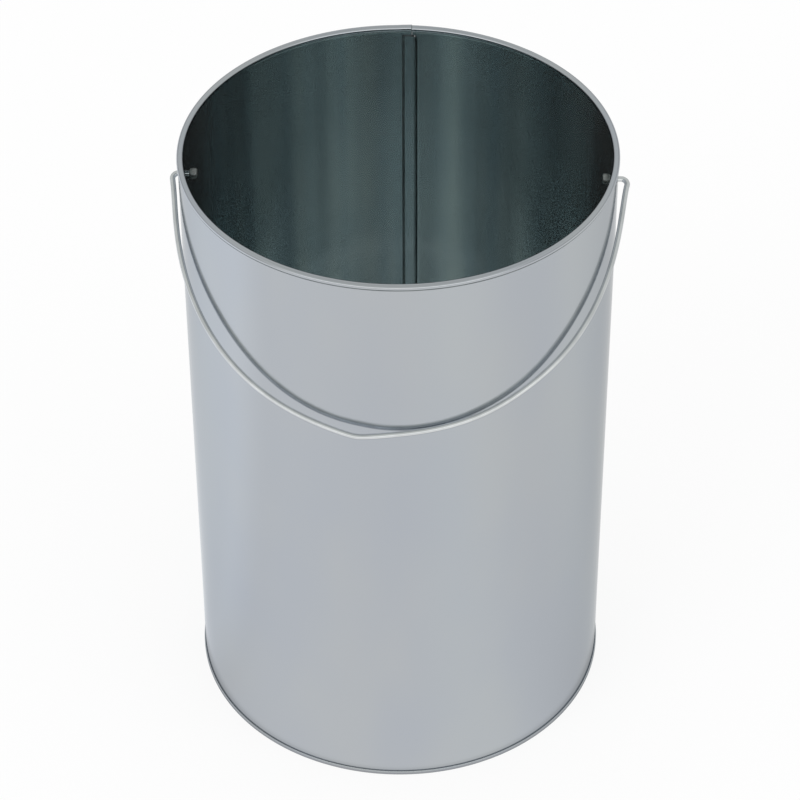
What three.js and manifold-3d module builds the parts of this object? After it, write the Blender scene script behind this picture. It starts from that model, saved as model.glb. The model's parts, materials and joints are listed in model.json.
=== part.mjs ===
// Open-topped straight-sided metal bin with a wire carrying handle.
//
// Three pieces, as on the bench: the rolled body sheet (lock seam at the back, curled rim, outward
// hook at the foot), the pressed base that is double-seamed onto it, and the handle wire, which
// hangs in two plain holes by its upset heads and rests against the front of the wall.
//
// Millimetres, +Z up. The origin is on the bin's axis, in the plane it stands on. The handle's
// hinge line runs along X and the front, where the handle hangs, is -Y.

import * as THREE from 'three';
import { mergeVertices } from 'three/addons/utils/BufferGeometryUtils.js';
import Module from 'manifold-3d';

// ---- sheet and overall sizes
const wallRadius = 150; // outside of the wall
const binHeight = 460; // floor to top of the rim
const sheet = 0.3; // sheet thickness
const seamPlay = 0.05; // air between two layers of a closed seam

// ---- rim
const rimBeadRadius = 2.35; // outside radius of the curl
const rimProud = 0.6; // how far the curl stands out past the wall
const rimFillet = 0.5; // sheet centreline radius where the wall runs out into the curl
const rimCurlEnd = THREE.MathUtils.degToRad(295); // where the curled edge stops, from straight out
const rimJointWidth = 0.4; // slit where the two ends of the curl meet
const rimJointOffset = 1.3; // slit to the middle of the lock seam, along the wall
const rimJointFoot = 0.6; // foot of the slit above the top of the lock seam

// ---- lock seam down the back
const seamBearing = THREE.MathUtils.degToRad(88.3); // from +X, so it is just off the middle
const seamWidth = 8.4; // between the two fold edges
const seamJoggleRun = 2.0; // length over which the sheet steps in over the folds
const seamHookShort = 1.2; // how far each hook stops short of the other's fold
const seamFacetMargin = 1.9; // flat wall left each side of the seam
const seamTopInset = 9.5; // end of the seam below the top of the rim
const seamFootGap = 1.0; // end of the seam above the base

// ---- base
const footSeamHeight = 3.4; // height of the double seam round the foot
const footCornerRadius = 0.4; // sheet centreline radius of the seam's two lower corners
const panelHeight = 4.2; // underside of the base panel above the ground
const panelCornerRadius = 1.5; // sheet centreline radius where the panel turns down
const panelStepHeight = 1.5; // pressed step that stiffens the panel
const panelStepRun = 4; // width of that step
const panelStepInset = 28; // outer edge of the step, in from the wall

// ---- handle
const wireRadius = 1.9;
const hingeDrop = 23.3; // hinge line below the top of the rim
const holeClearance = 0.45; // wire to the edge of its hole, all round
const handleRimGap = 2.9; // wire to the rim curl, beside the hinge
const handleOverhang = 30.1; // crown of the handle past the wall radius, from the hinge line
const handleFullness = 2.17; // exponent of the outline: 2 is a plain ellipse
const handleSlide = 0.9; // handle pushed along its hinge line, to +X
const handleLean = 0.019; // sideways lean of the outline for each unit of reach
const legSplay = 2.45; // each leg splayed out beside its elbow
const legSplayRun = 12.9; // how soon the splay dies out along the leg
const crownKinkHeight = 7.2; // kink bent outward into the crown
const crownKinkPlace = -24.2; // its tip, from the bin's axis
const crownKinkSpread = 34; // how fast its sides fall away
const shoulderFlatDepth = 1.5; // shallow inward set in the +X shoulder
const shoulderFlatPlace = 95; // its middle, from the bin's axis
const shoulderFlatSpread = 25; // its half width
const elbowRadius = 4; // wire centreline radius where a leg turns in to the wall
const tailLength = 11.5; // from a leg's centreline in to the near face of its head
const headRadius = 3.75;
const headThickness = 5.5;
const headDome = 1.5; // depth of the rounding on each face of a head
const restGap = 0.5; // wire to the wall where the handle comes to rest

// ---- how finely round forms are cut
const curlSteps = 10;
const foldSteps = 4;
const cornerSteps = 2;
const wireSides = 12;
const handleSteps = 64;
const elbowSteps = 5;
const headSegments = 16;
const holeSegments = 20;

// ---- worked out from the sizes above
const layer = sheet + seamPlay; // pitch of the layers in a seam
const wallLine = wallRadius - sheet / 2; // sheet centreline of the wall
const seamOverall = seamWidth + sheet + seamPlay + seamJoggleRun;
const wallFacets = Math.floor(Math.PI / Math.asin((seamOverall / 2 + seamFacetMargin) / wallRadius));
const facetAngle = (2 * Math.PI) / wallFacets;
const seamFoot = panelHeight + sheet + seamFootGap;
const seamTop = binHeight - seamTopInset;
const hookTurn = 2 * layer + sheet / 2; // height of the fold's centre at the foot of the wall
const hingeHeight = binHeight - hingeDrop;
const rimOuterRadius = wallRadius + rimProud;
const handleHalfSpan = rimOuterRadius + handleRimGap + wireRadius;
const handleReach = wallRadius + handleOverhang;

const kinkRounding = 0.14; // of the kink's tip, in its own spreads

const finish = {
  body: { color: 0xb5b9bc, roughness: 0.22, metalness: 1 },
  base: { color: 0xa9aeb0, roughness: 0.3, metalness: 1 },
  wire: { color: 0xc3c6c8, roughness: 0.2, metalness: 1 },
};

const wasm = await Module();
wasm.setup();

// ---------------------------------------------------------------- solids

function toSolid(geometry) {
  const bare = geometry.index ? geometry.toNonIndexed() : geometry.clone();
  bare.deleteAttribute('normal');
  bare.deleteAttribute('uv');
  const welded = mergeVertices(bare, 1e-5);
  return new wasm.Manifold(new wasm.Mesh({
    numProp: 3,
    vertProperties: new Float32Array(welded.attributes.position.array),
    triVerts: new Uint32Array(welded.index.array),
  }));
}

function toGeometry(solid) {
  const { vertProperties, triVerts } = solid.getMesh();
  const geometry = new THREE.BufferGeometry();
  geometry.setAttribute('position', new THREE.BufferAttribute(vertProperties, 3));
  geometry.setIndex(new THREE.BufferAttribute(triVerts, 1));
  geometry.computeVertexNormals();
  return geometry;
}

function namedMesh(name, geometry, look) {
  const mesh = new THREE.Mesh(geometry, new THREE.MeshStandardMaterial(look));
  mesh.name = name;
  return mesh;
}

// ---------------------------------------------------------------- bent sheet

// Follows the middle of a bent sheet: straight runs and bends, each bend a radius and a signed
// angle, counter-clockwise positive. Every point keeps the direction square to the sheet.
function followSheet(x, y, heading) {
  const points = [];
  let angle = heading;
  const mark = () => {
    const side = new THREE.Vector2(-Math.sin(angle), Math.cos(angle));
    points.push({ at: new THREE.Vector2(x, y), side });
  };
  mark();
  const path = {
    points,
    run(length) {
      x += length * Math.cos(angle);
      y += length * Math.sin(angle);
      mark();
      return path;
    },
    bend(radius, turn, steps) {
      const sign = Math.sign(turn);
      const cx = x - sign * radius * Math.sin(angle);
      const cy = y + sign * radius * Math.cos(angle);
      const start = angle;
      for (let i = 1; i <= steps; i += 1) {
        angle = start + (turn * i) / steps;
        x = cx + sign * radius * Math.sin(angle);
        y = cy - sign * radius * Math.cos(angle);
        mark();
      }
      return path;
    },
  };
  return path;
}

// One face of the sheet: the followed points moved square to it.
function faceOf(points, offset) {
  return points.map(({ at, side }) => at.clone().addScaledVector(side, offset));
}

function sheetOutline(points, thickness) {
  return [...faceOf(points, -thickness / 2), ...faceOf(points, thickness / 2).reverse()];
}

// A ring or dish turned from a profile of (radius, height), with one flat of it under the seam.
function turned(profile, closed) {
  const loop = closed ? [...profile, profile[0]] : profile;
  const geometry = new THREE.LatheGeometry(loop, wallFacets, 0);
  geometry.rotateX(Math.PI / 2);
  geometry.rotateZ(Math.PI / 2 + seamBearing + facetAngle / 2);
  return geometry;
}

// ---------------------------------------------------------------- body sheet

// Plan of the wall from one hooked edge, once round the bin, to the other. The seam is drawn on
// the flat of the wall that faces its bearing: u runs along that flat and v inward from its
// outside. The first edge stays flush outside and folds in; the second steps in over it and
// folds out, so that each hook lies inside the other's fold.
function wallPlan() {
  const flatness = Math.cos(facetAngle / 2);
  const leaf = sheet * flatness;
  const pitch = leaf + seamPlay;
  const halfFlat = wallRadius * Math.sin(facetAngle / 2);
  const rightFold = seamWidth / 2 - seamJoggleRun / 2;
  const leftFold = rightFold - seamWidth;
  const foldReach = pitch + leaf / 2;

  const rightTurn = rightFold - foldReach;
  const leftTurn = leftFold + foldReach;
  const flushHook = followSheet(leftTurn + seamHookShort, 2 * pitch + leaf / 2, 0)
    .run(rightTurn - leftTurn - seamHookShort)
    .bend(pitch, -Math.PI, foldSteps)
    .run(rightTurn + halfFlat);

  const rise = 3 * pitch;
  const joggleTurn = 2 * Math.atan(rise / seamJoggleRun);
  const joggleRadius = seamJoggleRun / 2 / Math.sin(joggleTurn);
  const joggleStart = rightFold + seamPlay + leaf / 2 + seamJoggleRun;
  const steppedHook = followSheet(halfFlat, leaf / 2, Math.PI)
    .run(halfFlat - joggleStart)
    .bend(joggleRadius, -joggleTurn, cornerSteps)
    .bend(joggleRadius, joggleTurn, cornerSteps)
    .run(joggleStart - seamJoggleRun - leftTurn)
    .bend(pitch, Math.PI, foldSteps)
    .run(rightTurn - leftTurn - seamHookShort);

  const outward = new THREE.Vector2(Math.cos(seamBearing), Math.sin(seamBearing));
  const along = new THREE.Vector2(outward.y, -outward.x);
  const toPlan = ({ x: u, y: v }) => outward.clone()
    .multiplyScalar(wallRadius * flatness - v)
    .addScaledVector(along, u);
  const corners = Array.from({ length: wallFacets - 2 }, (_, i) => {
    const bearing = seamBearing + facetAngle * (i + 1.5);
    return new THREE.Vector2(Math.cos(bearing), Math.sin(bearing));
  });

  const side = (offset, radius) => [
    ...faceOf(flushHook.points, offset).map(toPlan),
    ...corners.map((corner) => corner.clone().multiplyScalar(radius)),
    ...faceOf(steppedHook.points, offset).map(toPlan),
  ];
  return [...side(leaf / 2, wallRadius), ...side(-leaf / 2, wallRadius - sheet).reverse()];
}

function wallSolid() {
  const geometry = new THREE.ExtrudeGeometry(new THREE.Shape(wallPlan()), {
    depth: seamTop - seamFoot,
    bevelEnabled: false,
  });
  geometry.translate(0, 0, seamFoot);
  return toSolid(geometry);
}

// Foot of the body: the sheet turned out and up, to be held inside the base's fold.
function footHookSolid() {
  const tip = footSeamHeight - layer - sheet / 2 - seamPlay;
  const path = followSheet(wallLine + 2 * layer, tip, -Math.PI / 2)
    .run(tip - hookTurn)
    .bend(layer, -Math.PI, foldSteps)
    .run(seamFoot - hookTurn);
  return toSolid(turned(sheetOutline(path.points, sheet), true));
}

// Rim: the sheet eases out a little past the wall, then rolls over and in to a round curl.
function rimSolid() {
  const curlRadius = rimBeadRadius - sheet / 2;
  const curlLine = rimOuterRadius - rimBeadRadius;
  const curlHeight = binHeight - rimBeadRadius;
  const easing = Math.acos((wallLine + rimFillet - curlLine) / (curlRadius + rimFillet));
  const easingStart = curlHeight - (curlRadius + rimFillet) * Math.sin(easing);
  const path = followSheet(wallLine, seamTop, Math.PI / 2)
    .run(easingStart - seamTop)
    .bend(rimFillet, -easing, cornerSteps)
    .bend(curlRadius, easing + rimCurlEnd, curlSteps);
  const ring = toSolid(turned(sheetOutline(path.points, sheet), true));

  const slit = new THREE.BoxGeometry(rimJointWidth, 4 * rimBeadRadius, seamTopInset);
  slit.translate(rimJointOffset, curlLine, seamTop + rimJointFoot + seamTopInset / 2);
  slit.rotateZ(seamBearing - Math.PI / 2);
  return ring.subtract(toSolid(slit));
}

// The two plain holes that the handle hangs in.
function hingeHoles() {
  const drill = new THREE.CylinderGeometry(
    wireRadius + holeClearance,
    wireRadius + holeClearance,
    3 * wallRadius,
    holeSegments,
  );
  drill.rotateZ(Math.PI / 2);
  drill.translate(0, 0, hingeHeight);
  return toSolid(drill);
}

function bodyShell() {
  const body = wallSolid().add(footHookSolid()).add(rimSolid()).subtract(hingeHoles());
  return namedMesh('body_shell', toGeometry(body), finish.body);
}

// ---------------------------------------------------------------- base

// The panel is held up off the ground. At the wall it turns down inside the body, runs under the
// body's hook, up outside it, and over and down again between that hook and the wall.
function basePlate() {
  const panelLine = panelHeight + sheet / 2;
  const innerLine = wallLine - layer;
  const outerLine = wallLine + 3 * layer;
  const cornerStart = innerLine - panelCornerRadius;
  const stepOuter = wallRadius - panelStepInset;
  const stepTurn = 2 * Math.atan(panelStepHeight / panelStepRun);
  const stepRadius = panelStepRun / 2 / Math.sin(stepTurn);
  const topTurn = footSeamHeight - layer - sheet / 2;
  const groundTurn = sheet / 2 + footCornerRadius;

  const path = followSheet(0, panelLine + panelStepHeight, 0)
    .run(stepOuter - panelStepRun)
    .bend(stepRadius, -stepTurn, 1)
    .bend(stepRadius, stepTurn, 1)
    .run(cornerStart - stepOuter)
    .bend(panelCornerRadius, -Math.PI / 2, foldSteps)
    .run(panelLine - panelCornerRadius - groundTurn)
    .bend(footCornerRadius, Math.PI / 2, cornerSteps)
    .run(outerLine - innerLine - 2 * footCornerRadius)
    .bend(footCornerRadius, Math.PI / 2, cornerSteps)
    .run(topTurn - groundTurn)
    .bend(layer, Math.PI, foldSteps)
    .run(topTurn - hookTurn - seamPlay);
  const geometry = turned(sheetOutline(path.points, sheet), false);
  return namedMesh('base_plate', toGeometry(toSolid(geometry)), finish.base);
}

// ---------------------------------------------------------------- handle

// Distance of the handle's outline from the hinge line, and across it, at an angle round it from
// the +X leg (0) over the crown to the -X leg (half a turn).
function handlePoint(turn) {
  const power = 2 / handleFullness;
  const c = Math.cos(turn);
  const s = Math.max(Math.sin(turn), 0);
  const reach = handleReach * s ** power;
  const splay = legSplay * Math.exp((elbowRadius - reach) / legSplayRun);
  const bow = (handleHalfSpan - legSplay) * Math.abs(c) ** power;
  const across = Math.sign(c) * (bow + splay) + handleSlide - handleLean * reach;
  const fromKink = (across - crownKinkPlace) / crownKinkSpread;
  const fromFlat = (across - shoulderFlatPlace) / shoulderFlatSpread;
  const kink = crownKinkHeight * Math.exp(-Math.hypot(fromKink, kinkRounding));
  const flat = shoulderFlatDepth * Math.exp(-(fromFlat ** 2));
  return new THREE.Vector2(across, reach + (kink - flat) * s);
}

// Centreline of the wire in its own plane: head end, tail, elbow, outline, and back to a head.
function handleLine() {
  const stations = Array.from({ length: handleSteps + 1 }, (_, i) => i / handleSteps);
  const outline = stations.map((share) => handlePoint(share * Math.PI));
  const legs = outline.filter(({ y }) => y > elbowRadius);
  const elbow = (sign) => Array.from({ length: elbowSteps + 1 }, (_, i) => {
    const turn = (Math.PI / 2) * (i / elbowSteps);
    const across = handleHalfSpan - elbowRadius * (1 - Math.sin(turn));
    return new THREE.Vector2(sign * across + handleSlide, elbowRadius * (1 - Math.cos(turn)));
  });
  const tail = (sign) => {
    const end = handleHalfSpan - tailLength - headThickness / 2;
    return new THREE.Vector2(sign * end + handleSlide, 0);
  };
  return [tail(1), ...elbow(1), ...legs, ...elbow(-1).reverse(), tail(-1)];
}

// A curve that has one section of the wire at each of its points.
class WireCurve extends THREE.Curve {
  constructor(points) {
    super();
    this.points = points;
  }

  getPoint(t, target = new THREE.Vector3()) {
    return target.copy(this.points[Math.round(t * (this.points.length - 1))]);
  }

  getPointAt(t, target) {
    return this.getPoint(t, target);
  }

  getTangentAt(t, target = new THREE.Vector3()) {
    const last = this.points.length - 1;
    const i = Math.round(t * last);
    const before = this.points[Math.max(i - 1, 0)];
    const after = this.points[Math.min(i + 1, last)];
    return target.subVectors(after, before).normalize();
  }
}

function wireSolid(line) {
  const section = new THREE.Shape(Array.from({ length: wireSides }, (_, i) => {
    const turn = (2 * Math.PI * i) / wireSides;
    return new THREE.Vector2(wireRadius * Math.cos(turn), wireRadius * Math.sin(turn));
  }));
  const curve = new WireCurve(line.map(({ x, y }) => new THREE.Vector3(x, -y, 0)));
  return toSolid(new THREE.ExtrudeGeometry(section, { steps: line.length - 1, extrudePath: curve }));
}

// Upset head: the wire's end hammered out to a short domed button.
function headSolid(sign) {
  const half = headThickness / 2;
  const dome = (t) => new THREE.Vector2(
    headRadius * Math.sin(t) ** 0.5,
    (half - headDome) * Math.sign(Math.cos(t)) + headDome * Math.cos(t),
  );
  const turns = [0, 0.16, 0.33, 0.5, 0.5, 0.67, 0.84, 1].map((share) => share * Math.PI);
  const profile = turns.map((t, i) => {
    const point = dome(t);
    if (i === 0 || i === turns.length - 1) point.x = 0;
    if (i === 3) point.y = half - headDome;
    if (i === 4) point.y = headDome - half;
    return point;
  }).reverse();
  const geometry = new THREE.LatheGeometry(profile, headSegments);
  geometry.rotateZ(Math.PI / 2);
  geometry.translate(sign * (handleHalfSpan - tailLength - half) + handleSlide, 0, 0);
  return toSolid(geometry);
}

// How far the handle hangs below level when its wire lies restGap off the wall.
function restTilt(line) {
  const stop = wallRadius + wireRadius + restGap;
  const outside = line.filter(({ y }) => y > elbowRadius);
  const clears = (tilt) => outside.every(({ x, y }) => Math.hypot(x, y * Math.cos(tilt)) > stop);
  let level = 0;
  let upright = Math.PI / 2;
  for (let i = 0; i < 40; i += 1) {
    const middle = (level + upright) / 2;
    if (clears(middle)) level = middle;
    else upright = middle;
  }
  return level;
}

function carryHandle() {
  const line = handleLine();
  const solid = wireSolid(line).add(headSolid(1)).add(headSolid(-1));
  const hinge = new THREE.Group();
  hinge.position.z = hingeHeight;
  hinge.rotation.x = restTilt(line);
  hinge.add(namedMesh('carry_handle', toGeometry(solid), finish.wire));
  return hinge;
}

// ---------------------------------------------------------------- bin

const bin = new THREE.Group();
bin.add(bodyShell(), basePlate(), carryHandle());

export default bin;
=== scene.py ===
import bpy, bmesh, json
from math import acos, atan, cos, exp, hypot, pi, radians, sin, tau
from mathutils import Matrix, Vector


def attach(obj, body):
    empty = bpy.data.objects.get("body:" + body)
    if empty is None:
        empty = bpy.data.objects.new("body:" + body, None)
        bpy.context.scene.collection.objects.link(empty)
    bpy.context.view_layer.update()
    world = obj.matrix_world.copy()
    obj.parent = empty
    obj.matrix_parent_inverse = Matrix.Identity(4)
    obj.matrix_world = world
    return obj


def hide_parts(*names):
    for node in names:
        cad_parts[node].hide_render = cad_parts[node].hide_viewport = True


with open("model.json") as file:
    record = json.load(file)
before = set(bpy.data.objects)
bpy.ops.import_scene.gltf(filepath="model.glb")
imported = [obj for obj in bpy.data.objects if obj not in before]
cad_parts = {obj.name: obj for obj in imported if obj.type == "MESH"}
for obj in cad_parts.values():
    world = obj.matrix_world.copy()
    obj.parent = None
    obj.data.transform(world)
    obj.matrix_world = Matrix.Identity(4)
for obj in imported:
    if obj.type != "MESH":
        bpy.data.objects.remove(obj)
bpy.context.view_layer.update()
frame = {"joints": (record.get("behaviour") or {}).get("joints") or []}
hinge = frame["joints"][0]
mm = 0.001

sheetStock = {
    "thickness": 0.3,
    "seamPlay": 0.05,       # air between two layers of a closed seam
    "segments": 288,        # stations round the bin
    "foldSteps": 12,        # stations in each fold of the foot's seam
}
half = sheetStock["thickness"] / 2
layer = sheetStock["thickness"] + sheetStock["seamPlay"]
hookTurn = 2 * layer + half         # height above the ground where the body's foot starts to fold
sheetFaces = (-half, half)          # outside and inside of the body, underside and top of the base


# follows the middle of a bent sheet; each mark is a point and the direction square to the sheet
class BentSheet:
    def __init__(self, x, y, heading):
        self.x, self.y, self.heading = x, y, heading
        self.marks = []
        self.mark()

    def mark(self):
        self.marks.append((self.x, self.y, -sin(self.heading), cos(self.heading)))

    def last(self):
        return len(self.marks) - 1

    def run(self, length, steps=1):
        for stop in range(steps):
            self.x += length / steps * cos(self.heading)
            self.y += length / steps * sin(self.heading)
            self.mark()
        return self

    def bend(self, radius, turn, steps):
        way = 1 if turn > 0 else -1
        cx = self.x - way * radius * sin(self.heading)
        cy = self.y + way * radius * cos(self.heading)
        start = self.heading
        for i in range(1, steps + 1):
            self.heading = start + turn * i / steps
            self.x = cx + way * radius * sin(self.heading)
            self.y = cy - way * radius * cos(self.heading)
            self.mark()
        return self

    # two equal bends, right and left, that move the sheet aside by depth over a length of run
    def joggle(self, run, depth, steps):
        turn = 2 * atan(depth / run)
        radius = run / 2 / sin(turn)
        return self.bend(radius, -turn, steps).bend(radius, turn, steps)


def shifted(mark, distance):
    x, y, sideX, sideY = mark
    return x + sideX * distance, y + sideY * distance


def smoothStep(value):
    value = min(max(value, 0), 1)
    return value * value * (3 - 2 * value)


def placeMesh(name, bm):
    mesh = bpy.data.meshes.new(name)
    bm.to_mesh(mesh)
    bm.free()
    placed = bpy.data.objects.new(name, mesh)
    bpy.context.scene.collection.objects.link(placed)
    return placed


def newPiece(name, bm, body, nodes, materials):
    bmesh.ops.recalc_face_normals(bm, faces=bm.faces)
    piece = placeMesh(name, bm)
    for material in materials:
        piece.data.materials.append(material)
    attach(piece, body)
    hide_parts(*nodes)
    return piece


def shadeSmooth(piece, sharpAngle):
    for face in piece.data.polygons:
        face.use_smooth = True
    piece.data.set_sharp_from_angle(angle=radians(sharpAngle))


# for the node tree of a material or a world
def nodeKit(owner):
    owner.use_nodes = True
    tree = owner.node_tree
    tree.nodes.clear()

    def add(kind, **settings):
        node = tree.nodes.new(kind)
        for key, value in settings.items():
            if key in node.inputs:
                node.inputs[key].default_value = value
            else:
                setattr(node, key, value)
        return node

    return add, tree.links.new


# both ends of one side, From or To, of a map range node
def setEnds(node, side, ends):
    node.inputs[side + " Min"].default_value, node.inputs[side + " Max"].default_value = ends


# tones at places along a ramp, eased from one to the next
def fillRamp(ramp, stops):
    ramp.color_ramp.interpolation = "EASE"
    elements = ramp.color_ramp.elements
    for i, (place, tone) in enumerate(stops):
        element = elements[i] if i < 2 else elements.new(place)     # a new ramp has two already
        element.position, element.color = place, (*tone, 1)


# tones by degrees round the bin, from the front towards the right
def toneRound(add, link, place, stops):
    split = add("ShaderNodeSeparateXYZ")
    back = add("ShaderNodeMath", operation="MULTIPLY")
    back.inputs[1].default_value = -1
    bearing = add("ShaderNodeMath", operation="ARCTAN2")
    turn = add("ShaderNodeMapRange")
    setEnds(turn, "From", (-pi, pi))
    tone = add("ShaderNodeValToRGB")
    fillRamp(tone, [((degrees + 180) / 360, colour) for degrees, colour in stops])
    link(place, split.inputs["Vector"])
    link(split.outputs["Y"], back.inputs[0])
    link(split.outputs["X"], bearing.inputs[0])
    link(back.outputs["Value"], bearing.inputs[1])
    link(bearing.outputs["Value"], turn.inputs["Value"])
    link(turn.outputs["Result"], tone.inputs["Fac"])
    return tone.outputs["Color"]


# how finely each pattern in the zinc breaks up, and between which values the tarnish clouds fade
zincPattern = {
    "waveDetail": 1.0,
    "grainDetail": 3.0,
    "cloudDetail": 2.0,
    "breakUp": 0.5,
    "cloudEdges": (0.35, 0.65),
}


# bright zinc: soft upright waves from rolling, fine upright grain, faint cloudy tarnish
def zincFinish(name, look):
    material = bpy.data.materials.new(name)
    add, link = nodeKit(material)
    place = add("ShaderNodeTexCoord").outputs["Object"]

    def streaks(size, stretch, detail):
        squeeze = add("ShaderNodeMapping")
        scale = 1000 / size         # the sizes are in millimetres
        squeeze.inputs["Scale"].default_value = (scale, scale, scale / stretch)
        noise = add("ShaderNodeTexNoise", Scale=1.0, Detail=detail, Roughness=zincPattern["breakUp"])
        link(place, squeeze.inputs["Vector"])
        link(squeeze.outputs["Vector"], noise.inputs["Vector"])
        return noise.outputs["Fac"]

    waves = streaks(look["waveLength"], look["waveStretch"], zincPattern["waveDetail"])
    grain = streaks(look["grainSize"], look["grainStretch"], zincPattern["grainDetail"])
    clouds = streaks(look["cloudSize"], look["cloudStretch"], zincPattern["cloudDetail"])

    colour = add("ShaderNodeMix", data_type="RGBA")
    colour.inputs["A"].default_value = (*look["colour"], 1)
    colour.inputs["B"].default_value = (*look["tarnish"], 1)
    spread = add("ShaderNodeMapRange")
    setEnds(spread, "From", zincPattern["cloudEdges"])
    link(clouds, spread.inputs["Value"])
    link(spread.outputs["Result"], colour.inputs["Factor"])
    tone = colour.outputs["Result"]
    # painted light and shade by degrees round the bin
    if "bands" in look:
        paintedRound = add("ShaderNodeMix", data_type="RGBA", blend_type="MULTIPLY")
        paintedRound.inputs["Factor"].default_value = 1
        stops = [(degrees, (grey, grey, grey)) for degrees, grey in look["bands"]]
        link(tone, paintedRound.inputs["A"])
        link(toneRound(add, link, place, stops), paintedRound.inputs["B"])
        tone = paintedRound.outputs["Result"]

    rough = add("ShaderNodeMapRange")
    setEnds(rough, "To", look["roughness"])
    link(grain, rough.inputs["Value"])

    waveBump = add("ShaderNodeBump", Distance=look["waveHeight"] * mm)
    grainBump = add("ShaderNodeBump", Distance=look["grainHeight"] * mm)
    link(waves, waveBump.inputs["Height"])
    link(grain, grainBump.inputs["Height"])
    link(waveBump.outputs["Normal"], grainBump.inputs["Normal"])

    metal = add("ShaderNodeBsdfPrincipled", Metallic=look["metallic"])
    metal.inputs["Specular Tint"].default_value = (*look["edgeTint"], 1)
    link(tone, metal.inputs["Base Color"])
    link(rough.outputs["Result"], metal.inputs["Roughness"])
    link(grainBump.outputs["Normal"], metal.inputs["Normal"])
    output = add("ShaderNodeOutputMaterial")
    link(metal.outputs["BSDF"], output.inputs["Surface"])
    return material


bodyZinc = {
    "colour": (0.576, 0.600, 0.620),
    "tarnish": (0.547, 0.578, 0.620),
    "cloudSize": 90, "cloudStretch": 2,
    "metallic": 1.0,
    "edgeTint": (0.72, 0.73, 0.74),
    "roughness": (0.09, 0.14),
    "waveLength": 26, "waveStretch": 30, "waveHeight": 0.03,
    "grainSize": 1.6, "grainStretch": 40, "grainHeight": 0.0006,
}
# inside, the zinc has darkened to a grey green, in upright bands from the rolling
panelZinc = dict(bodyZinc, colour=(0.72, 0.76, 0.75), tarnish=(0.565, 0.63, 0.655), metallic=0.975,
                 cloudSize=30, cloudStretch=40, roughness=(0.09, 0.13),
                 waveLength=18, waveStretch=60, waveHeight=0.03, grainHeight=0.0001)
insideZinc = dict(panelZinc, colour=(0.90, 0.95, 0.94), tarnish=(0.71, 0.79, 0.82))
insideZinc["bands"] = [     # painted light and shade round the inside wall: degrees round from the front, and how bright there
    (-180, 0.74), (-172, 0.67), (-160, 0.64), (-153, 0.67), (-150, 0.56), (-138, 0.56),
    (-122, 0.68), (-110, 0.82), (-40, 0.98), (60, 0.93), (118, 0.86), (142, 0.55),
    (158, 0.52), (160, 0.66), (170, 0.69), (180, 0.74),
]
# painted reflection of the curl: a bright ring on the inside of the wall just under it
curlReflectionZinc = dict(panelZinc, colour=(0.94, 0.97, 0.96), tarnish=(0.84, 0.88, 0.88))
# painted shade: the seam's slopes and the creases are darker where shade falls, and cut edges are bare
# steel painted darker as shade
# painted shade along the seam's slopes and edge strips
seamShadeZinc = dict(bodyZinc, colour=(0.38, 0.41, 0.41), tarnish=(0.31, 0.34, 0.35), cloudSize=12,
                roughness=(0.15, 0.25))
# painted shade in the creases: under the curl, beside the seam's left fold and along the rim's butt
# joint
creaseShadeZinc = dict(bodyZinc, colour=(0.28, 0.31, 0.31), tarnish=(0.21, 0.235, 0.24), cloudSize=12,
                  roughness=(0.25, 0.4))
# bare steel on the cut edges, made darker still as painted shade
cutSteelShade = dict(creaseShadeZinc, colour=(0.13, 0.14, 0.14), tarnish=(0.08, 0.09, 0.09), roughness=(0.4, 0.6))
baseZinc = dict(bodyZinc, roughness=(0.14, 0.22), cloudSize=60, waveHeight=0.02)
wireBright = {
    "colour": (0.86, 0.88, 0.885),
    "tarnish": (0.76, 0.78, 0.785),
    "cloudSize": 14, "cloudStretch": 2,
    "metallic": 1.0,
    "edgeTint": (0.45, 0.45, 0.45),
    "roughness": (0.03, 0.07),
    "waveLength": 12, "waveStretch": 1, "waveHeight": 0.01,
    "grainSize": 0.9, "grainStretch": 1, "grainHeight": 0.001,
}
# hammered faces of the heads
wireHammered = dict(wireBright, colour=(0.32, 0.34, 0.33), tarnish=(0.20, 0.215, 0.21), cloudSize=3,
                    roughness=(0.32, 0.5), waveLength=2.2, waveHeight=0.12)
bodyMetal = zincFinish("bodyZinc", bodyZinc)
insideMetal = zincFinish("insideZinc", insideZinc)
panelMetal = zincFinish("panelZinc", panelZinc)
curlReflectionMetal = zincFinish("curlReflectionZinc", curlReflectionZinc)
seamShadeMetal = zincFinish("seamShadeZinc", seamShadeZinc)
creaseShadeMetal = zincFinish("creaseShadeZinc", creaseShadeZinc)
edgeSteelShade = zincFinish("cutSteelShade", cutSteelShade)
baseMetal = zincFinish("baseZinc", baseZinc)
wireMetal = zincFinish("brightWire", wireBright)
headMetal = zincFinish("hammeredWire", wireHammered)
print("finishes mixed")

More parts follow.
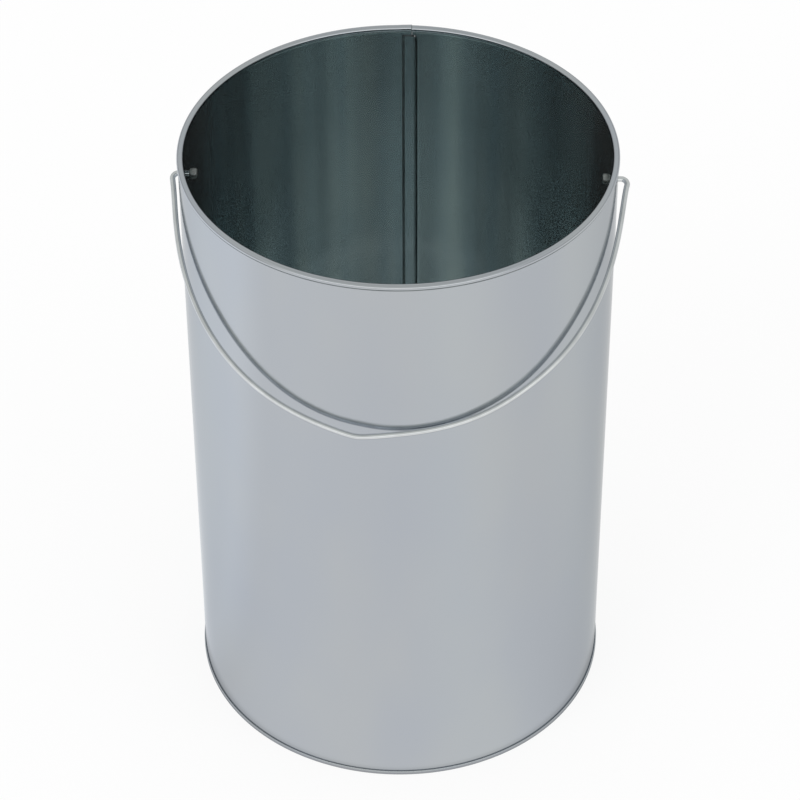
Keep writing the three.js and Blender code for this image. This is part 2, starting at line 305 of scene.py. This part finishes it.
bodySheet = {
    "wallRadius": 150,
    "height": 460,
    "rimBeadRadius": 2.35,      # the curled rim
    "rimProud": 0.6,            # curl past the wall
    "rimFillet": 0.5,
    "rimCurlEnd": 295,          # degrees round, from straight out
    "rimJointWidth": 0.1,       # butt joint across the curl
    "rimJointShadeWidth": 0.16,       # painted shade each side of it
    "rimJointOffset": 1.3,      # to the right of the seam's middle
    "rimJointFoot": 0.6,        # it starts this far above the seam's top
    "rimJointRise": 0.5,        # how far one end of the curl stands above the other
    "rimJointRiseRun": 12,
    "rimJointRiseLevels": 6,    # stations over which that eases in, upward
    "seamBearing": 88.3,        # lock seam at the back, degrees from +X
    "seamWidth": 8.4,
    "joggleRun": 2.0,
    "hookShort": 1.2,           # each hook stops this far short of the other's fold
    "seamTopInset": 9.5,        # the seam ends this far below the top
    "seamTopSqueeze": 0.15,     # the step beside the seam is pressed steep at its top end
    "seamEdgeShade": 0.8,        # strip of painted shade along each edge of the seam
    "foldCreaseShade": (0.2, 0.9),   # painted shade beside the seam's left fold, reach to each side of it
    "curlReflectionBand": (6.3, 7.4),    # painted reflection of the curl, a bright ring under it, from the top
    "seamFoot": 5.5,            # and starts this far above the ground
    "footSeamHeight": 3.4,
    "holeClearance": 0.45,
    "holeMargin": 9,            # plain wall above and below the middle of each hole
    "holeSides": 48,
    # stations along each part of the sheet
    "hookSteps": 3,
    "seamFoldSteps": 14,
    "seamFlatSteps": 2,
    "joggleSteps": 6,
    "wallSteps": 10,
    "filletSteps": 4,
    "curlSteps": 34,
    "rimCreaseShadeSteps": 7,        # painted shade in the corner under the curl
    "sharpAngle": 32,
}
wallLine = bodySheet["wallRadius"] - half
seamTop = bodySheet["height"] - bodySheet["seamTopInset"]
seamBearing = radians(bodySheet["seamBearing"])
hingeHeight = hinge["pos_m"][2] / mm


# u runs along the wall from the middle of the seam towards +X, v inward from the outside
def onWall(u, v):
    bearing = seamBearing - u / bodySheet["wallRadius"]
    radius = bodySheet["wallRadius"] - v
    return radius * cos(bearing), radius * sin(bearing)


# plan of the sheet: one hooked edge, once round the bin, the other hooked edge
def wallStations():
    joggleRun, edgeShade = bodySheet["joggleRun"], bodySheet["seamEdgeShade"]
    hookSteps, foldSteps = bodySheet["hookSteps"], bodySheet["seamFoldSteps"]
    rightFold = (bodySheet["seamWidth"] - joggleRun) / 2
    leftFold = rightFold - bodySheet["seamWidth"]
    rightTurn = rightFold - layer - half
    leftTurn = leftFold + layer + half
    hookRun = rightTurn - leftTurn - bodySheet["hookShort"]
    flush = BentSheet(leftTurn + bodySheet["hookShort"], 2 * layer + half, 0)
    flush.run(hookRun, hookSteps).bend(layer, -pi, foldSteps)

    joggleStart = rightFold + sheetStock["seamPlay"] + half + joggleRun
    flatRun = joggleStart - joggleRun - leftTurn - 2 * edgeShade
    stepped = BentSheet(joggleStart, half, pi)
    stepped.joggle(joggleRun, 3 * layer, bodySheet["joggleSteps"])
    stepped.run(edgeShade).run(flatRun, bodySheet["seamFlatSteps"]).run(edgeShade)
    stepped.bend(layer, pi, foldSteps).run(hookRun, hookSteps)

    # plain wall between them, with a station at each side of the rim's butt joint
    joint, gap = bodySheet["rimJointOffset"], bodySheet["rimJointWidth"] / 2
    jointShadeEdge = gap + bodySheet["rimJointShadeWidth"]
    creaseRight, creaseLeft = bodySheet["foldCreaseShade"]
    ring = [rightTurn, joint + jointShadeEdge, joint + gap, joint - gap, joint - jointShadeEdge, leftFold + creaseRight]
    plainStart, plainEnd = leftFold - creaseLeft, joggleStart - tau * bodySheet["wallRadius"]
    count = sheetStock["segments"]
    ring += [plainStart + (plainEnd - plainStart) * i / count for i in range(count + 1)]
    return flush.marks[:-1], ring, stepped.marks[1:]


slitColumn, creaseColumn = 2, 5     # in that ring: across the butt joint, and beside the left fold


# section of the sheet from the tip of the foot hook, up the wall and round the rim's curl
def wallLevels():
    footTip = bodySheet["footSeamHeight"] - layer - half - sheetStock["seamPlay"]
    path = BentSheet(wallLine + 2 * layer, footTip, -pi / 2)
    path.run(footTip - hookTurn).bend(layer, -pi, sheetStock["foldSteps"])
    path.run(bodySheet["seamFoot"] - hookTurn)
    footLevel = path.last()
    holeFoot, holeTop = hingeHeight - bodySheet["holeMargin"], hingeHeight + bodySheet["holeMargin"]
    path.run(holeFoot - bodySheet["seamFoot"], bodySheet["wallSteps"])
    path.run(holeTop - holeFoot).run(seamTop - holeTop)
    topLevel = path.last()
    path.run(bodySheet["rimJointFoot"])

    curlRadius = bodySheet["rimBeadRadius"] - half
    curlLine = bodySheet["wallRadius"] + bodySheet["rimProud"] - bodySheet["rimBeadRadius"]
    curlHeight = bodySheet["height"] - bodySheet["rimBeadRadius"]
    fillet = bodySheet["rimFillet"]
    easing = acos((wallLine + fillet - curlLine) / (curlRadius + fillet))
    easingStart = curlHeight - (curlRadius + fillet) * sin(easing)
    bandTop, bandFoot = (bodySheet["height"] - inset for inset in bodySheet["curlReflectionBand"])
    path.run(bandFoot - seamTop - bodySheet["rimJointFoot"]).run(bandTop - bandFoot)
    path.run(easingStart - bandTop)
    filletLevel = path.last()
    path.bend(fillet, -easing, bodySheet["filletSteps"])
    path.bend(curlRadius, easing + radians(bodySheet["rimCurlEnd"]), bodySheet["curlSteps"])
    return path.marks, footLevel, topLevel, filletLevel


def makeBodySheet():
    flush, ring, stepped = wallStations()
    levels, footLevel, topLevel, filletLevel = wallLevels()
    slitLevel, lastLevel = topLevel + 1, len(levels) - 1
    slitLeft = ring[slitColumn + 1]
    stepEnd = ring[-1] + tau * bodySheet["wallRadius"] - bodySheet["joggleRun"]
    bm = bmesh.new()

    # the left end of the curl eases up to stand above the right one at the joint
    def rise(u, level):
        riseRun = bodySheet["rimJointRiseRun"]
        if level <= slitLevel or u > slitLeft or u < slitLeft - riseRun:
            return 0
        near = smoothStep(1 - (slitLeft - u) / riseRun)
        high = smoothStep((level - slitLevel) / bodySheet["rimJointRiseLevels"])
        return bodySheet["rimJointRise"] * near * high

    def ringPoint(u, level, face):
        radius, height = shifted(levels[level], face)
        x, y = onWall(u, bodySheet["wallRadius"] - radius)
        return bm.verts.new((x * mm, y * mm, (height + rise(u, level)) * mm))

    def hookPoint(mark, level, face):
        u, v = shifted(mark, -face)
        if level == topLevel and u > stepEnd:
            u = stepEnd + (u - stepEnd) * bodySheet["seamTopSqueeze"]
        x, y = onWall(u, v)
        return bm.verts.new((x * mm, y * mm, levels[level][1] * mm))

    ringGrid = [[[ringPoint(u, j, f) for f in sheetFaces] for j in range(len(levels))] for u in ring]
    wallSpan = range(footLevel, topLevel + 1)

    def hookGrid(marks):
        return [{j: [hookPoint(mark, j, f) for f in sheetFaces] for j in wallSpan} for mark in marks]

    outside, inside, crease, cut, slopeShade, curlReflection = range(6)     # finishes
    # painted reflection of the curl, on the inside just under it
    curlReflectionLevel = slitLevel + 1
    # painted shade in the corner under the curl, outside
    rimCreaseShade = range(filletLevel, filletLevel + bodySheet["rimCreaseShadeSteps"])

    # both faces of the sheet between two stations, with a finish of their own at some levels
    def skin(a, b, low, high, marked=(), finish=crease, sides=(outside, inside)):
        for j in range(low, high):
            for f in (outside, inside):
                face = bm.faces.new((a[j][f], b[j][f], b[j + 1][f], a[j + 1][f]))
                if j in marked and f in sides:
                    face.material_index = finish
                elif j in rimCreaseShade and f == outside:
                    face.material_index = crease
                elif j == curlReflectionLevel and f == inside:
                    face.material_index = curlReflection
                else:
                    face.material_index = f

    def edge(a, b, j):              # cut edge of the sheet along one level
        bm.faces.new((a[j][0], b[j][0], b[j][1], a[j][1])).material_index = cut

    def end(a, low, high):          # cut edge of the sheet down one station
        for j in range(low, high):
            bm.faces.new((a[j][0], a[j + 1][0], a[j + 1][1], a[j][1])).material_index = cut

    # the columns by the rim's butt joint and beside the left fold take painted shade
    wall, jointShaded = range(footLevel, topLevel), range(slitLevel, lastLevel)
    for i, (a, b) in enumerate(zip(ringGrid, ringGrid[1:])):
        top = slitLevel if i == slitColumn else lastLevel
        if i in (slitColumn - 1, slitColumn + 1):
            skin(a, b, 0, top, jointShaded)
        elif i == creaseColumn:
            skin(a, b, 0, top, wall, crease, (inside,))
        else:
            skin(a, b, 0, top)
        edge(a, b, 0)
        edge(a, b, top)
        if i == slitColumn:
            end(a, slitLevel, lastLevel)
            end(b, slitLevel, lastLevel)

    # above and below the seam the wall simply closes on itself
    a, b = ringGrid[-1], ringGrid[0]
    skin(a, b, 0, footLevel)
    skin(a, b, topLevel, lastLevel)
    for j in (0, footLevel, topLevel, lastLevel):
        edge(a, b, j)

    hooks = bodySheet["hookSteps"]
    fold = range(hooks, hooks + bodySheet["seamFoldSteps"] + 1)             # and the strip by it, in painted shade
    step = range(fold.stop + bodySheet["seamFlatSteps"], len(stepped))      # and the strip by it, in painted shade
    for strip, shadedStrips in (([*hookGrid(flush), ringGrid[0]], ()),
                          ([*reversed(hookGrid(stepped)), ringGrid[-1]], step)):
        for i, (a, b) in enumerate(zip(strip, strip[1:])):
            finish = crease if i in fold else slopeShade
            skin(a, b, footLevel, topLevel, wall if i in fold or i in shadedStrips else (), finish)
            edge(a, b, footLevel)
            edge(a, b, topLevel)
        end(strip[0], footLevel, topLevel)

    return newPiece("bodySheet", bm, "bin", ["body_shell"],
                    [bodyMetal, insideMetal, creaseShadeMetal, edgeSteelShade, seamShadeMetal, curlReflectionMetal])


# the two plain holes that the handle hangs in
def drillHoles(piece, wireRadius):
    bm = bmesh.new()
    radius = (wireRadius + bodySheet["holeClearance"]) * mm
    reach = 3 * bodySheet["wallRadius"] * mm        # through both walls and well past them
    along = Matrix.Translation((0, 0, hingeHeight * mm)) @ Matrix.Rotation(pi / 2, 4, "Y")
    bmesh.ops.create_cone(bm, cap_ends=True, segments=bodySheet["holeSides"],
                          radius1=radius, radius2=radius, depth=reach, matrix=along)
    drill = placeMesh("drill", bm)
    cut = piece.modifiers.new("holes", "BOOLEAN")
    cut.operation, cut.object, cut.solver = "DIFFERENCE", drill, "EXACT"
    bpy.context.view_layer.update()
    holed = bpy.data.meshes.new_from_object(piece.evaluated_get(bpy.context.evaluated_depsgraph_get()))
    piece.modifiers.clear()
    piece.data = holed
    bpy.data.objects.remove(drill)


baseDisc = {
    "footCornerRadius": 0.4,
    "panelHeight": 4.2,
    "panelCornerRadius": 1.5,
    "stepHeight": 1.5,          # shallow step pressed into the panel
    "stepRun": 4,
    "stepInset": 28,
    # stations along each part of the section
    "panelSteps": 12,
    "joggleSteps": 6,
    "rimSteps": 4,
    "panelCornerSteps": 8,
    "footSteps": 2,
    "footCornerSteps": 6,
    "sharpAngle": 32,
}


def makeBaseDisc():
    panelLine = baseDisc["panelHeight"] + half
    innerLine, outerLine = wallLine - layer, wallLine + 3 * layer
    corner, footCorner = baseDisc["panelCornerRadius"], baseDisc["footCornerRadius"]
    stepRun, stepOuter = baseDisc["stepRun"], bodySheet["wallRadius"] - baseDisc["stepInset"]
    topTurn = bodySheet["footSeamHeight"] - layer - half
    groundTurn = half + footCorner
    footBend = pi / 2, baseDisc["footCornerSteps"]

    path = BentSheet(0, panelLine + baseDisc["stepHeight"], 0)
    path.run(stepOuter - stepRun, baseDisc["panelSteps"])
    path.joggle(stepRun, baseDisc["stepHeight"], baseDisc["joggleSteps"])
    path.run(innerLine - corner - stepOuter, baseDisc["rimSteps"])
    path.bend(corner, -pi / 2, baseDisc["panelCornerSteps"])
    cornerMark = path.last()
    path.run(panelLine - corner - groundTurn).bend(footCorner, *footBend)
    path.run(outerLine - innerLine - 2 * footCorner, baseDisc["footSteps"]).bend(footCorner, *footBend)
    path.run(topTurn - groundTurn).bend(layer, pi, sheetStock["foldSteps"])
    path.run(topTurn - hookTurn - sheetStock["seamPlay"])

    marks = path.marks
    count = sheetStock["segments"]
    bm = bmesh.new()
    poles = [bm.verts.new((0, 0, shifted(marks[0], face)[1] * mm)) for face in sheetFaces]
    rings = []
    for i in range(count):
        turn = tau * i / count
        station = []
        for mark in marks[1:]:
            pair = [shifted(mark, face) for face in sheetFaces]
            station.append([bm.verts.new((r * cos(turn) * mm, r * sin(turn) * mm, z * mm))
                            for r, z in pair])
        rings.append(station)
    under, top = range(2)       # finishes; the top's goes on down the corner at the wall
    for i in range(count):
        a, b = rings[i], rings[(i + 1) % count]
        for f in (under, top):
            bm.faces.new((poles[f], a[0][f], b[0][f])).material_index = f
            for j in range(len(a) - 1):
                face = bm.faces.new((a[j][f], b[j][f], b[j + 1][f], a[j + 1][f]))
                face.material_index = f if j < cornerMark else under
        bm.faces.new((a[-1][under], b[-1][under], b[-1][top], a[-1][top]))
    return newPiece("baseDisc", bm, "bin", ["base_plate"], [baseMetal, panelMetal])


handleWire = {
    "wireRadius": 1.9,
    "rimGap": 2.9,              # wire to the rim's curl beside the hinge
    "overhang": 30.1,           # crown past the wall radius, from the hinge line
    "fullness": 2.17,
    "slide": 0.9,
    "lean": 0.019,
    "splay": 2.45, "splayRun": 12.9,    # the legs splay out beside their elbows
    "kink": (7.2, -24.2, 34, 0.14),     # height, place, spread, rounding of the bent crown
    "flat": (1.5, 95, 25),              # depth, place, spread of the set in one shoulder
    "elbowRadius": 4,
    "tailLength": 11.5,
    "headRadius": 3.75,
    "headThickness": 5.5,
    # domed head, from its tip: share of its thickness from the neck, share of its radius there
    "headShape": [(1, 0.3), (0.985, 0.62), (0.93, 0.83), (0.84, 0.945), (0.7, 0.99),
                  (0.5, 1.0), (0.3, 0.995), (0.16, 0.955), (0.06, 0.86), (0.0, 0.68)],
    "neckShape": [(0.25, 1.04), (0.8, 1)],      # length past the head, share of the wire's radius
    "restGap": 0.5,             # air between the hanging wire and the wall
    "sides": 28,
    "steps": 260,
    "elbowSteps": 12,
    "sharpAngle": 50,
}
halfSpan = (bodySheet["wallRadius"] + bodySheet["rimProud"] + handleWire["rimGap"]
            + handleWire["wireRadius"])


# outline in the handle's own plane: (across, out from the hinge line)
def handleOutline(turn):
    power = 2 / handleWire["fullness"]
    c, s = cos(turn), max(sin(turn), 0)
    reach = (bodySheet["wallRadius"] + handleWire["overhang"]) * s ** power
    splay = handleWire["splay"] * exp((handleWire["elbowRadius"] - reach) / handleWire["splayRun"])
    bow = (halfSpan - handleWire["splay"]) * abs(c) ** power
    across = (1 if c > 0 else -1) * (bow + splay)
    across += handleWire["slide"] - handleWire["lean"] * reach
    height, place, spread, rounding = handleWire["kink"]
    kink = height * exp(-hypot((across - place) / spread, rounding))
    depth, place, spread = handleWire["flat"]
    flat = depth * exp(-((across - place) / spread) ** 2)
    return across, reach + (kink - flat) * s


# the wire's middle from head to head, each point with the wire's radius there
def handleStations():
    elbow, wire = handleWire["elbowRadius"], handleWire["wireRadius"]
    steps, elbowSteps = handleWire["steps"], handleWire["elbowSteps"]
    outline = [handleOutline(pi * i / steps) for i in range(steps + 1)]
    legs = [(x, y, wire) for x, y in outline if y > elbow]

    def endPart(side):
        neck = halfSpan - handleWire["tailLength"]
        stations = [(neck - handleWire["headThickness"] * along, 0, handleWire["headRadius"] * wide)
                    for along, wide in handleWire["headShape"]]
        stations += [(neck + past, 0, wire * wide) for past, wide in handleWire["neckShape"]]
        stations.append((halfSpan - elbow, 0, wire))
        for i in range(1, elbowSteps + 1):
            turn = pi / 2 * i / elbowSteps
            stations.append((halfSpan - elbow * (1 - sin(turn)), elbow * (1 - cos(turn)), wire))
        return [(side * x + handleWire["slide"], y, radius) for x, y, radius in stations]

    return [*endPart(1), *legs, *reversed(endPart(-1))]


# how far the handle hangs below level when its wire lies restGap off the wall
def restTilt(stations):
    stop = bodySheet["wallRadius"] + handleWire["wireRadius"] + handleWire["restGap"]
    outline = [(x, y) for x, y, radius in stations if y > handleWire["elbowRadius"]]
    clear, touching = 0.0, pi / 2
    for halving in range(40):
        tilt = (clear + touching) / 2
        if all(hypot(x, y * cos(tilt)) > stop for x, y in outline):
            clear = tilt
        else:
            touching = tilt
    return clear


def makeHandle():
    stations = handleStations()
    tilt = restTilt(stations)
    outward = Vector((0, -cos(tilt), -sin(tilt)))
    upright = Vector((1, 0, 0)).cross(outward)
    centre = Vector((0, 0, hingeHeight))
    middle = [centre + Vector((x, 0, 0)) + outward * y for x, y, radius in stations]
    bm = bmesh.new()
    rings = []
    for i, (x, y, radius) in enumerate(stations):
        before, after = middle[max(i - 1, 0)], middle[min(i + 1, len(middle) - 1)]
        along = (after - before).normalized()
        side = upright.cross(along)
        ring = []
        for k in range(handleWire["sides"]):
            turn = tau * k / handleWire["sides"]
            offset = (side * cos(turn) + upright * sin(turn)) * radius
            ring.append(bm.verts.new((middle[i] + offset) * mm))
        rings.append(ring)
    wireFinish, headFinish = range(2)
    headMarks = len(handleWire["headShape"])
    for i, (a, b) in enumerate(zip(rings, rings[1:])):
        onHead = min(i, len(rings) - 2 - i) < headMarks
        for k in range(len(a)):
            n = (k + 1) % len(a)
            face = bm.faces.new((a[k], a[n], b[n], b[k]))
            face.material_index = headFinish if onHead else wireFinish
    for ring, point in ((rings[0], middle[0]), (rings[-1], middle[-1])):
        tip = bm.verts.new(point * mm)
        for k in range(len(ring)):
            face = bm.faces.new((ring[k], ring[(k + 1) % len(ring)], tip))
            face.material_index = headFinish
    return newPiece("handleWire", bm, "handle", ["carry_handle"], [wireMetal, headMetal])


bodyPiece = makeBodySheet()
drillHoles(bodyPiece, handleWire["wireRadius"])
shadeSmooth(bodyPiece, bodySheet["sharpAngle"])
print("body sheet rolled")
basePiece = makeBaseDisc()
shadeSmooth(basePiece, baseDisc["sharpAngle"])
print("base seamed on")
handlePiece = makeHandle()
shadeSmooth(handlePiece, handleWire["sharpAngle"])
print("handle hung")

studio = {
    "floorSize": 12,                # metres, as the lamps' places and sizes are
    "floorColour": (0.92, 0.92, 0.92),
    "floorGlow": 0.85,              # share of plain white in the floor as the camera sees it
    # the floor as the metal mirrors it: degrees round the bin from the front, and tone there
    "floorRound": [
        (-180, (0.80, 0.80, 0.80)),
        (-114, (0.95, 0.975, 1.00)),
        (-88, (0.89, 0.915, 0.96)),
        (-62, (0.80, 0.81, 0.83)),
        (0, (0.785, 0.79, 0.80)),
        (26, (0.80, 0.81, 0.81)),
        (66, (0.76, 0.765, 0.77)),
        (100, (0.79, 0.80, 0.80)),
        (180, (0.80, 0.80, 0.80)),
    ],
    "footShade": 0.62,              # darker at the foot of the bin
    "footShadeReach": (0.150, 0.158),       # metres from the middle
    "dome": 0.9,                    # plain light from all round
    # what the metal sees above the floor: height as a share of straight up, and tone there
    "room": [
        (0.0, (0.45, 0.45, 0.45)),
        (0.25, (0.50, 0.51, 0.51)),
        (0.45, (0.62, 0.635, 0.63)),
        (0.70, (0.60, 0.615, 0.61)),
        (0.92, (0.52, 0.535, 0.53)),
    ],
    "window": (1.5, 1.5, 1.5),      # long bright window low in front
    "windowHeight": [(0.10, (0, 0, 0)), (0.17, (1, 1, 1)), (0.30, (1, 1, 1)), (0.40, (0, 0, 0))],
    "windowSides": (0.35, 0.75),    # it fades in between these shares of straight ahead
    "key": {"place": (-2.2, -2.6, 3.2), "size": 2.2, "power": 40},
    "fill": {"place": (2.6, -1.8, 2.4), "size": 2.4, "power": 18},
    "lampAim": (0, 0, 0.2),
}


def makeFloor():
    bm = bmesh.new()
    bmesh.ops.create_grid(bm, x_segments=1, y_segments=1, size=studio["floorSize"] / 2)
    floor = placeMesh("studioFloor", bm)
    material = bpy.data.materials.new("palePaper")
    add, link = nodeKit(material)
    place = add("ShaderNodeTexCoord").outputs["Object"]
    tone = toneRound(add, link, place, studio["floorRound"])
    away = add("ShaderNodeVectorMath", operation="LENGTH")
    foot = add("ShaderNodeMapRange", interpolation_type="SMOOTHSTEP")
    setEnds(foot, "From", studio["footShadeReach"])
    setEnds(foot, "To", (studio["footShade"], 1))
    paper = add("ShaderNodeBsdfDiffuse")
    paper.inputs["Color"].default_value = (*studio["floorColour"], 1)
    white = add("ShaderNodeEmission", Strength=1.0)
    mirrored = add("ShaderNodeEmission")
    rays = add("ShaderNodeLightPath")
    share = add("ShaderNodeMath", operation="MULTIPLY")
    share.inputs[1].default_value = studio["floorGlow"]
    most = add("ShaderNodeMath", operation="MAXIMUM")
    glow, mix = add("ShaderNodeMixShader"), add("ShaderNodeMixShader")
    output = add("ShaderNodeOutputMaterial")
    link(place, away.inputs[0])
    link(away.outputs["Value"], foot.inputs["Value"])
    link(tone, mirrored.inputs["Color"])
    link(foot.outputs["Result"], mirrored.inputs["Strength"])
    link(rays.outputs["Is Glossy Ray"], glow.inputs["Fac"])
    link(white.outputs["Emission"], glow.inputs[1])
    link(mirrored.outputs["Emission"], glow.inputs[2])
    link(rays.outputs["Is Camera Ray"], share.inputs[0])
    link(share.outputs["Value"], most.inputs[0])
    link(rays.outputs["Is Glossy Ray"], most.inputs[1])
    link(most.outputs["Value"], mix.inputs["Fac"])
    link(paper.outputs["BSDF"], mix.inputs[1])
    link(glow.outputs["Shader"], mix.inputs[2])
    link(mix.outputs["Shader"], output.inputs["Surface"])
    floor.data.materials.append(material)


# white for the camera, plain light for dull surfaces, and for the metal a room with a window
def makeWorld():
    world = bpy.data.worlds.new("studioRoom")
    bpy.context.scene.world = world
    add, link = nodeKit(world)
    place = add("ShaderNodeTexCoord")
    split = add("ShaderNodeSeparateXYZ")
    walls, pane = add("ShaderNodeValToRGB"), add("ShaderNodeValToRGB")
    fillRamp(walls, studio["room"])
    fillRamp(pane, studio["windowHeight"])
    inFront = add("ShaderNodeMath", operation="MULTIPLY")
    inFront.inputs[1].default_value = -1
    sides = add("ShaderNodeMapRange", interpolation_type="SMOOTHSTEP")
    setEnds(sides, "From", studio["windowSides"])
    share = add("ShaderNodeMath", operation="MULTIPLY")
    view = add("ShaderNodeMix", data_type="RGBA")
    view.inputs["B"].default_value = (*studio["window"], 1)
    room = add("ShaderNodeBackground", Strength=1.0)
    plain = add("ShaderNodeBackground", Strength=studio["dome"])
    white = add("ShaderNodeBackground", Strength=1.0)
    for flat in (plain, white):
        flat.inputs["Color"].default_value = (1, 1, 1, 1)
    rays = add("ShaderNodeLightPath")
    glossy, seen = add("ShaderNodeMixShader"), add("ShaderNodeMixShader")
    output = add("ShaderNodeOutputWorld")
    link(place.outputs["Generated"], split.inputs["Vector"])
    link(split.outputs["Z"], walls.inputs["Fac"])
    link(split.outputs["Z"], pane.inputs["Fac"])
    link(split.outputs["Y"], inFront.inputs[0])
    link(inFront.outputs["Value"], sides.inputs["Value"])
    link(pane.outputs["Color"], share.inputs[0])
    link(sides.outputs["Result"], share.inputs[1])
    link(share.outputs["Value"], view.inputs["Factor"])
    link(walls.outputs["Color"], view.inputs["A"])
    link(view.outputs["Result"], room.inputs["Color"])
    link(rays.outputs["Is Glossy Ray"], glossy.inputs["Fac"])
    link(plain.outputs["Background"], glossy.inputs[1])
    link(room.outputs["Background"], glossy.inputs[2])
    link(rays.outputs["Is Camera Ray"], seen.inputs["Fac"])
    link(glossy.outputs["Shader"], seen.inputs[1])
    link(white.outputs["Background"], seen.inputs[2])
    link(seen.outputs["Shader"], output.inputs["Surface"])


def hangLamp(name, lamp):
    light = bpy.data.lights.new(name, "AREA")
    light.size, light.energy = lamp["size"], lamp["power"]
    holder = bpy.data.objects.new(name, light)
    holder.location = lamp["place"]
    aim = Vector(studio["lampAim"]) - holder.location
    holder.rotation_euler = aim.to_track_quat("-Z", "Y").to_euler()
    holder.visible_glossy = False       # the metal mirrors the room and its window instead
    bpy.context.scene.collection.objects.link(holder)


makeFloor()
makeWorld()
hangLamp("keyLamp", studio["key"])
hangLamp("fillLamp", studio["fill"])
bpy.context.scene.view_settings.view_transform = "Standard"
bpy.context.scene.cycles.glossy_bounces = 12     # the inside mirrors itself many times over
print("studio lit")

photoView = {
    "azimuth": 1.7,             # degrees round to the right of the front
    "downTilt": 40.717,
    "roll": -0.239,
    "distance": 2301.7,
    "lookAt": (0.504, 0, 234.66),   # before the azimuth is turned
    "lens": 142.81,
    "sensor": 36,
    "clip": (0.05, 50),         # metres
}


def setCamera():
    tilt, roll = radians(photoView["downTilt"]), radians(photoView["roll"])
    azimuth = Matrix.Rotation(radians(photoView["azimuth"]), 3, "Z")
    forward = azimuth @ Vector((0, cos(tilt), -sin(tilt)))
    right = azimuth @ Vector((1, 0, 0))
    up = right.cross(forward)
    acrossAxis = right * cos(roll) + up * sin(roll)
    upAxis = up * cos(roll) - right * sin(roll)
    place = azimuth @ Vector(photoView["lookAt"]) - forward * photoView["distance"]
    lens = bpy.data.cameras.new("photoCamera")
    lens.lens, lens.sensor_width = photoView["lens"], photoView["sensor"]
    lens.clip_start, lens.clip_end = photoView["clip"]
    camera = bpy.data.objects.new("photoCamera", lens)
    axes = Matrix((acrossAxis, upAxis, -forward)).transposed()
    camera.matrix_world = Matrix.Translation(place * mm) @ axes.to_4x4()
    bpy.context.scene.collection.objects.link(camera)
    bpy.context.scene.camera = camera


setCamera()
print("camera set")
